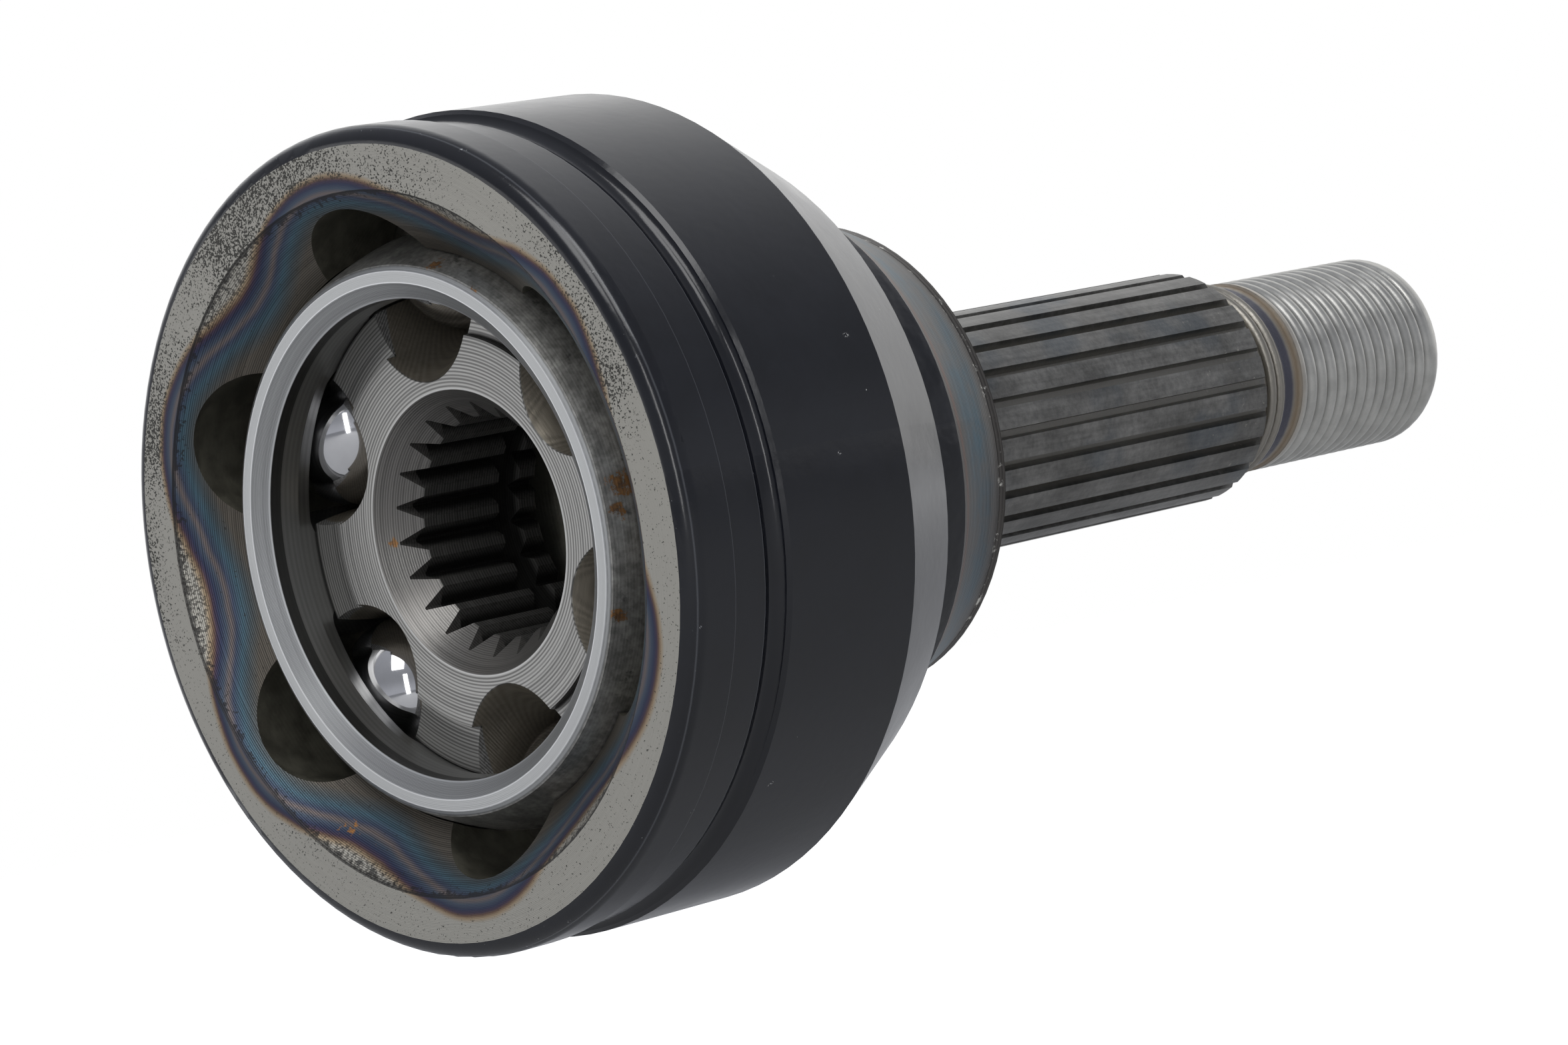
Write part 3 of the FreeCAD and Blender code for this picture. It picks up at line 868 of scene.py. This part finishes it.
@dataclass
class OuterRace:
    """The bell and its stub, which are one forging, dressed in separate pieces."""

    effects: Effects
    mouth_radius: float = 35.6
    lead_in_depth: float = 5.5
    cavity_reach: float = 31.75
    skin_beyond: tuple[Span, ...] = ((-1.0, 39.9), (30.0, 31.5), (40.0, 26.0), (45.02, -1.0))
    collar_start: float = 51.1
    shoulder: float = 61.7
    thread_start: float = 127.3
    thread_end: float = 151.3
    on_plane: float = 0.01
    on_cone: float = 0.03
    body: str = "outer_race"

    def bell_finish(self, triangle: Triangle) -> BellFinish | None:
        """Which finish a triangle of the bell has.

        The outer skin is what lies past both numbers of some pair of depth and radius in skin_beyond.

        Args:
            triangle: The triangle.

        Returns:
            The finish, or None beyond the bell.
        """
        if triangle.depth > self.shoulder + self.on_plane:
            return None
        if triangle.depth > self.collar_start:
            return BellFinish.COLLAR
        if max(triangle.depths) < self.on_plane:
            return BellFinish.FACE
        if any(triangle.depth > depth and triangle.radius > radius for depth, radius in self.skin_beyond):
            return BellFinish.ENAMEL
        if max(triangle.depths) <= self.lead_in_depth + self.on_plane and self.on_lead_in(triangle):
            return BellFinish.LEAD_IN
        return BellFinish.OILED

    def on_lead_in(self, triangle: Triangle) -> bool:
        """Tells whether every corner lies on the lead-in's cone, which ends on the cavity's sphere."""
        inner_radius = math.sqrt(self.cavity_reach ** 2 - (self.lead_in_depth - FACE_TO_CENTRE) ** 2)
        slope = (self.mouth_radius - inner_radius) / self.lead_in_depth
        return all(abs(self.mouth_radius - slope * depth - radius) < self.on_cone
                   for depth, radius in zip(triangle.depths, triangle.radii))

    def shaft_finish(self, triangle: Triangle) -> int | None:
        """Keeps the seat, the spline and the neck."""
        return 0 if self.shoulder < triangle.depth < self.thread_start else None

    def end_finish(self, triangle: Triangle) -> int | None:
        """Keeps the stub's rounded end with its lathe centre."""
        return 0 if min(triangle.depths) > self.thread_end - self.on_plane else None

    def build(self) -> list[Piece]:
        """Builds and dresses every piece of the outer race.

        Returns:
            The pieces.
        """
        bell = loose_copy("outer_race", "bell", self.bell_finish)
        finishes = (BlackEnamel(), BareFace(), HeatedLeadIn(), OiledSteel(), TurnedCollar())
        dress(bell, *(finish.make(self.effects) for finish in finishes))
        shaft = loose_copy("outer_race", "stub_spline", self.shaft_finish)
        dress(shaft, SplinedSteel().make(self.effects))
        bright = RolledThread().make(self.effects)
        end = loose_copy("outer_race", "stub_end", self.end_finish)
        dress(end, bright)
        thread = RolledThreadForm(start=self.thread_start, end=self.thread_end).build(bright)
        pieces = [bell, shaft, end, thread]
        for piece in pieces:
            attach(piece, self.body)
        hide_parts("outer_race")
        return pieces


class GeometryTree:
    """A Geometry Nodes tree with named inputs, run once on an empty mesh and kept as a plain mesh."""

    def __init__(self, name: str, sizes: dict[str, float]) -> None:
        """Opens the tree.

        Args:
            name: The tree's name.
            sizes: Its named inputs and their values.
        """
        self.tree = bpy.data.node_groups.new(name, "GeometryNodeTree")
        add_sockets(self.tree, "INPUT", {"Geometry": "Geometry", **dict.fromkeys(sizes, "Float")})
        add_sockets(self.tree, "OUTPUT", {"Geometry": "Geometry"})
        self.sizes = sizes
        self.graph = Graph(self.tree)
        self.given = self.graph.node("NodeGroupInput").outputs

    def finish(self, geometry: Socket, material: Material, name: str) -> Piece:
        """Closes the tree and turns its result into a piece.

        Args:
            geometry: The geometry to keep.
            material: The material to set on it.
            name: The piece's name.

        Returns:
            The piece, with no modifier left.
        """
        graph = self.graph
        realise = graph.node("GeometryNodeRealizeInstances", {0: geometry})
        paint = graph.node("GeometryNodeSetMaterial", {"Geometry": realise.outputs[0], "Material": material})
        graph.node("NodeGroupOutput", {"Geometry": paint.outputs[0]})
        carrier = put(name + "_carrier", bpy.data.meshes.new(name + "_carrier"))
        modifier = carrier.modifiers.new("shape", "NODES")
        modifier.node_group = self.tree
        for item in self.tree.interface.items_tree:
            if item.in_out == "INPUT" and item.name in self.sizes:
                modifier[item.identifier] = float(self.sizes[item.name])
        evaluated = carrier.evaluated_get(bpy.context.evaluated_depsgraph_get())
        mesh = bpy.data.meshes.new_from_object(evaluated)
        mesh.name = name
        carrier.modifiers.remove(modifier)
        bpy.data.objects.remove(carrier)
        return put(name, mesh)


@dataclass
class RolledThreadForm:
    """The stub's thread: a helical ridge with rounded crests, made by bending a flat grid round the axis."""

    start: float
    end: float
    crest_radius: float = 11.0
    ridge: float = 0.38
    pitch: float = 1.79
    fade: float = 1.2
    root_sharpness: float = 1.6
    weld_distance: float = 0.01
    around: int = 120
    steps_per_pitch: int = 12

    def build(self, material: Material) -> Piece:
        """Builds the thread.

        Args:
            material: Its finish.

        Returns:
            The thread as a plain mesh.
        """
        length = self.end - self.start
        work = GeometryTree("rolled_thread", {
            "Crest radius": self.crest_radius, "Ridge": self.ridge, "Pitch": self.pitch,
            "Start": self.start - FACE_TO_CENTRE, "Length": length, "Fade": self.fade})
        graph, given = work.graph, work.given
        rows = round(length / self.pitch * self.steps_per_pitch)
        grid = graph.node("GeometryNodeMeshGrid", {
            "Size X": 1.0, "Size Y": 1.0, "Vertices X": self.around + 1, "Vertices Y": rows + 1})
        x, y, _ = graph.split(graph.node("GeometryNodeInputPosition").outputs[0])
        share = graph.math("ADD", x, 0.5)
        turn = graph.times(share, math.tau)
        along = graph.times(graph.math("ADD", y, 0.5), given["Length"])
        phase = graph.math("SUBTRACT", graph.math("DIVIDE", along, given["Pitch"]), share)
        wave = graph.math("COSINE", graph.times(phase, math.tau))
        hollow = graph.math("POWER", graph.times_plus(wave, -0.5, 0.5), self.root_sharpness)
        from_end = graph.math("SUBTRACT", given["Length"], along)
        ends = graph.times(graph.math("DIVIDE", along, given["Fade"], clamp=True),
                           graph.math("DIVIDE", from_end, given["Fade"], clamp=True))
        sunk = graph.times(graph.times(hollow, given["Ridge"]), ends)
        radius = graph.times(graph.math("SUBTRACT", given["Crest radius"], sunk), MM)
        place = graph.combine(graph.times(radius, graph.math("SINE", turn)),
                              graph.times(graph.math("ADD", along, given["Start"]), MM),
                              graph.times(radius, graph.math("COSINE", turn)))
        bend = graph.node("GeometryNodeSetPosition", {"Geometry": grid.outputs["Mesh"], "Position": place})
        weld = graph.node("GeometryNodeMergeByDistance", {
            "Geometry": bend.outputs[0], "Distance": self.weld_distance * MM})
        smooth = graph.node("GeometryNodeSetShadeSmooth", {"Geometry": weld.outputs[0]})
        return work.finish(smooth.outputs[0], material, "stub_thread")


@dataclass
class InnerWorks:
    """The cage, the inner race and the balls, which keep their CAD forms."""

    effects: Effects

    def build(self) -> list[Piece]:
        """Dresses the inner pieces.

        Returns:
            The pieces.
        """
        balls = ChromeSteel().make(self.effects)
        finishes = {"cage": CageSteel().make(self.effects), "inner_race": RaceSteel().make(self.effects)}
        pieces = {node: piece for node, piece in sorted(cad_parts.items()) if node != "outer_race"}
        for node, piece in pieces.items():
            dress(piece, finishes.get(node, balls))
        return list(pieces.values())


@dataclass(frozen=True)
class Softbox:
    """A soft lamp that faces the joint: its place and sizes in mm, its power in watts."""

    name: str
    place: Place
    width: float
    height: float
    power: float

    def hang(self) -> None:
        """Hangs the lamp."""
        data = bpy.data.lights.new(self.name, "AREA")
        data.shape = "RECTANGLE"
        data.size = self.width * MM
        data.size_y = self.height * MM
        data.energy = self.power
        lamp = put(self.name, data)
        lamp.location = Vector(self.place) * MM
        lamp.rotation_euler = (-Vector(self.place)).to_track_quat("-Z", "Y").to_euler()


@dataclass
class Studio:
    """A white floor and background, soft lamps and the camera. Gaps and places are in mm."""

    floor_gap: float = 35.0
    floor_half: float = 4000.0
    floor_grey: float = 0.60
    floor_glow: float = 0.72
    far_glow: float = 1.0
    sweep_glow: float = 0.60
    sweep_start_end: Span = (80.0, 1000.0)
    far_start_end: Span = (300.0, 1500.0)
    room_level: float = 0.34
    backdrop_level: float = 0.50
    ceiling_level: float = 0.12
    horizon_level: float = 0.18
    room_tint: Colour = (0.95, 0.98, 1.06)
    backdrop_facing: Span = (0.25, 0.95)
    horizon_height: float = 0.35
    backdrop_way: tuple[float, ...] = tuple(Vector((-0.55, 0.83, 0.0)).normalized())
    lens: float = 123.91
    sensor_width: float = 36.0
    camera_place: Place = (411.535, -362.135, -17.193)
    camera_aim: Place = (-11.833, 45.876, -5.278)
    camera_roll: float = -13.117
    softboxes: tuple[Softbox, ...] = (
        Softbox("window_left_half", (210, -400, 540), 230, 400, 1.15),
        Softbox("window_right_half", (400, -210, 540), 230, 400, 1.15),
        Softbox("left_fill", (-560, -560, 110), 560, 460, 0.8),
        Softbox("camera_strip", (520, -630, 110), 90, 520, 0.8),
    )

    def build(self) -> None:
        """Builds the whole studio."""
        self.floor()
        self.world()
        for softbox in self.softboxes:
            softbox.hang()
        self.camera()

    def floor(self) -> None:
        """Lays the floor some way under the joint, which is held up in the air as for a catalogue."""
        lowest = CAD_BOX[0].z - self.floor_gap * MM
        half = self.floor_half * MM
        corners = [(x, y, lowest) for x, y in ((-half, -half), (half, -half), (half, half), (-half, half))]
        mesh = bpy.data.meshes.new("floor")
        mesh.from_pydata(corners, [], [(0, 1, 2, 3)])
        floor = put("floor", mesh)
        material = bpy.data.materials.new("white_floor")
        graph = Graph.emptied(material)
        path = graph.node("ShaderNodeLightPath").outputs
        metres = graph.node("ShaderNodeTexCoord").outputs["Object"]
        place = graph.vector("SCALE", metres, 1 / MM)
        away = graph.vector("DOT_PRODUCT", place, self.backdrop_way)
        sweep = graph.times(graph.rise(away, *self.sweep_start_end), self.sweep_glow)
        bounced = graph.math("MAXIMUM", path["Is Glossy Ray"], path["Is Transmission Ray"])
        mirrored = graph.times(bounced, sweep)
        far = graph.rise(graph.vector("LENGTH", place), *self.far_start_end)
        seen = graph.between(far, self.floor_glow, self.far_glow)
        strength = graph.times_plus(path["Is Camera Ray"], seen, mirrored)
        glow = graph.node("ShaderNodeEmission", {"Color": WHITE, "Strength": strength})
        matte = graph.node("ShaderNodeBsdfDiffuse", {"Color": (self.floor_grey,) * 3})
        both = graph.node("ShaderNodeAddShader", {0: matte.outputs[0], 1: glow.outputs[0]})
        graph.node("ShaderNodeOutputMaterial", {"Surface": both.outputs[0]})
        dress(floor, material)

    def world(self) -> None:
        """Makes the surroundings: white to look at, with a bright backdrop and a darker room to light by."""
        world = bpy.data.worlds.new("studio")
        bpy.context.scene.world = world
        graph = Graph.emptied(world)
        way = graph.node("ShaderNodeTexCoord").outputs["Generated"]
        facing = graph.vector("DOT_PRODUCT", way, self.backdrop_way)
        bright = graph.rise(facing, *self.backdrop_facing)
        _, _, up = graph.split(way)
        low = graph.times(graph.rise(up, self.horizon_height, 0.0), self.horizon_level)
        high = graph.rise(up, self.horizon_height, 1.0)
        level = graph.math("ADD", graph.times_plus(bright, self.backdrop_level, self.room_level),
                           graph.times_plus(high, self.ceiling_level, low))
        tinted = graph.vector("SCALE", self.room_tint, level)
        room = graph.node("ShaderNodeBackground", {"Color": tinted})
        white = graph.node("ShaderNodeBackground", {"Color": WHITE})
        path = graph.node("ShaderNodeLightPath").outputs
        seen = graph.math("MAXIMUM", path["Is Camera Ray"], path["Is Transmission Ray"])
        seen = graph.math("MAXIMUM", seen, graph.times(path["Is Glossy Ray"], bright))
        both = graph.node("ShaderNodeMixShader", {0: seen, 1: room.outputs[0], 2: white.outputs[0]})
        graph.node("ShaderNodeOutputWorld", {"Surface": both.outputs[0]})

    def camera(self) -> None:
        """Sets the camera up, a little below the joint's axis and rolled."""
        data = bpy.data.cameras.new("camera")
        data.lens = self.lens
        data.sensor_width = self.sensor_width
        data.clip_start = 0.01
        data.clip_end = 20.0
        camera = put("camera", data)
        aim = Vector(self.camera_aim) - Vector(self.camera_place)
        roll = Matrix.Rotation(math.radians(self.camera_roll), 3, "Z")
        camera.location = Vector(self.camera_place) * MM
        camera.rotation_euler = (aim.to_track_quat("-Z", "Y").to_matrix() @ roll).to_euler()
        bpy.context.scene.camera = camera


def main() -> None:
    """Builds the joint and its studio, and reports each piece."""
    logging.basicConfig(level=logging.INFO, format="%(message)s")
    bpy.context.scene.view_settings.view_transform = "Standard"
    effects = Effects()
    for part in (OuterRace(effects), InnerWorks(effects)):
        for piece in part.build():
            log.info("%s: %d faces", piece.name, len(piece.data.polygons))
    Studio().build()


if __name__ == "__main__":
    main()
